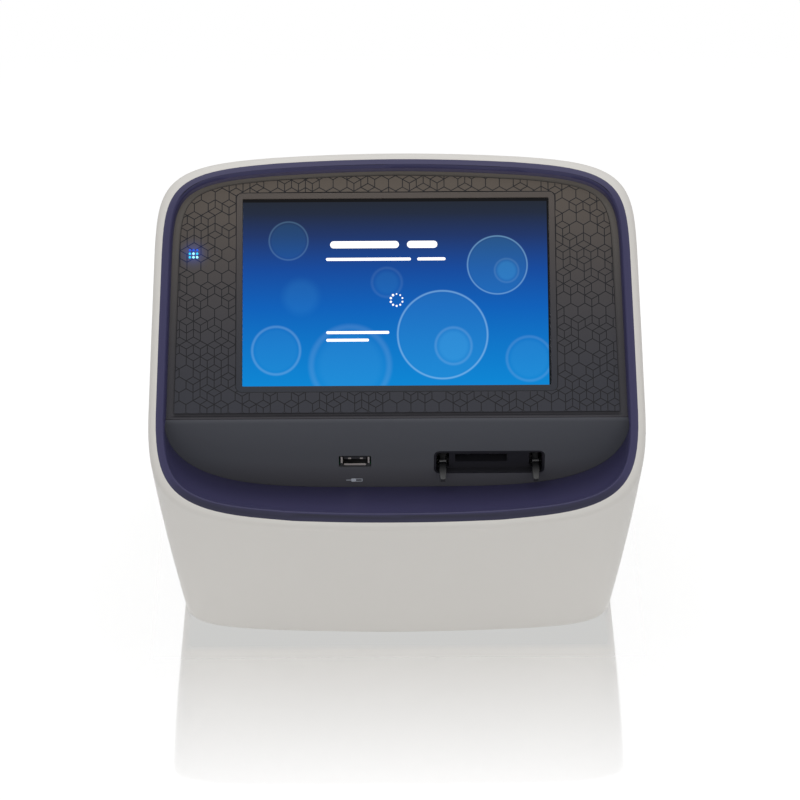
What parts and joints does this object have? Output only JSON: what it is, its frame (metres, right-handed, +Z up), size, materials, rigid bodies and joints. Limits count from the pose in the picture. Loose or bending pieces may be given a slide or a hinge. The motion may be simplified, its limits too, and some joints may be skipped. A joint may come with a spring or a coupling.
{
  "type": "automated cell counter",
  "caption": "Benchtop cell counter with a leaning touch screen, a slide port with a sprung carriage, a USB socket, and focusing optics inside a moulded housing.",
  "frame": {"origin": "on the bench, under the middle of the bounding box", "axes": "+X to the right of a person facing the screen, -Y to the front, +Z up"},
  "size_m": [0.243, 0.1575, 0.2086],
  "materials": {
    "shell_white": "satin moulded plastic, pale warm grey",
    "trim_violet": "satin painted plastic, dark violet grey",
    "bezel_slate": "satin moulded plastic, dark slate",
    "overlay_grey": "matt printed film with fine engraved lines",
    "screen_glass": "smooth cover glass over a lit display",
    "gasket_black": "foam gasket",
    "metal_plain": "machined and plain",
    "steel_bright": "plain bright metal",
    "board_green": "solder-masked circuit board",
    "ribbon_white": "smooth plain plastic",
    "light_blue": "clear light guide, lit blue",
    "carriage_grey": "satin moulded plastic, dark grey",
    "soft_black": "satin black plastic",
    "lens_clear": "clear ground glass",
    "nut_brass": "turned brass",
    "base_grey": "fine-textured moulded plastic",
    "rubber_black": "matt moulded rubber"
  },
  "bodies": {
    "instrument": {"main_housing": "shell_white", "trim_ring": "trim_violet", "front_bezel": "bezel_slate", "pattern_overlay": "overlay_grey", "screen_frame": "bezel_slate", "touch_glass": "screen_glass", "display_gasket": "gasket_black", "display_panel": "metal_plain", "display_bracket": "metal_plain", "display_driver_board": "board_green", "display_ribbon": "ribbon_white", "bracket_screws": "steel_bright", "status_light_pipe": "light_blue", "status_led_board": "board_green", "usb_socket_shell": "steel_bright", "usb_socket_tongue": "ribbon_white", "usb_board": "board_green", "slide_port_insert": "bezel_slate", "carriage_frame": "metal_plain", "carriage_rods": "steel_bright", "carriage_springs": "steel_bright", "lamp_bracket": "metal_plain", "lamp_housing": "soft_black", "lamp_led_board": "board_green", "condenser_lens": "lens_clear", "focus_rods": "steel_bright", "focus_motor": "soft_black", "camera_tube": "soft_black", "tube_lens": "lens_clear", "image_sensor": "soft_black", "camera_board": "board_green", "optics_base": "metal_plain", "frame_screws": "steel_bright", "main_board": "board_green", "board_connectors": "soft_black", "processor": "soft_black", "heat_sink": "metal_plain", "backup_cell": "steel_bright", "board_screws": "steel_bright", "base_plate": "base_grey", "base_screws": "steel_bright", "rubber_feet": "rubber_black", "rear_panel": "base_grey", "panel_screws": "steel_bright", "power_jack": "soft_black", "switch_body": "soft_black", "rear_usb_shell": "steel_bright", "rear_usb_tongue": "ribbon_white"},
    "carriage": {"slide_carriage": "carriage_grey"},
    "focus": {"focus_carriage": "metal_plain", "focus_nut": "nut_brass", "objective_barrel": "soft_black", "objective_lens": "lens_clear"},
    "screw": {"focus_screw": "steel_bright", "focus_coupling": "metal_plain"},
    "rocker": {"power_rocker": "soft_black"}
  },
  "joints": [
    {"name": "carriage_push", "type": "slide", "parent": "instrument", "child": "carriage", "axis": [0, 1, 0], "range_m": [0, 0.004], "stiffness_N_per_m": 150, "springref_m": -0.004, "deforming": ["carriage_springs"]},
    {"name": "focus_move", "type": "slide", "parent": "instrument", "child": "focus", "axis": [0, 0, 1], "range_m": [-0.002, 0.002]},
    {"name": "focus_turn", "type": "hinge", "parent": "instrument", "child": "screw", "pos_m": [0.0416, 0.032, 0.045], "axis": [0, 0, 1], "range_deg": [-725, 725]},
    {"name": "rocker_tilt", "type": "hinge", "parent": "instrument", "child": "rocker", "pos_m": [-0.028, 0.07216, 0.034], "axis": [0, 0, 1], "range_deg": [-16, 0]}
  ],
  "couplings": [
    {"joint": "focus_turn", "follows": "focus_move", "rad_per_m": -6283.2}
  ]
}
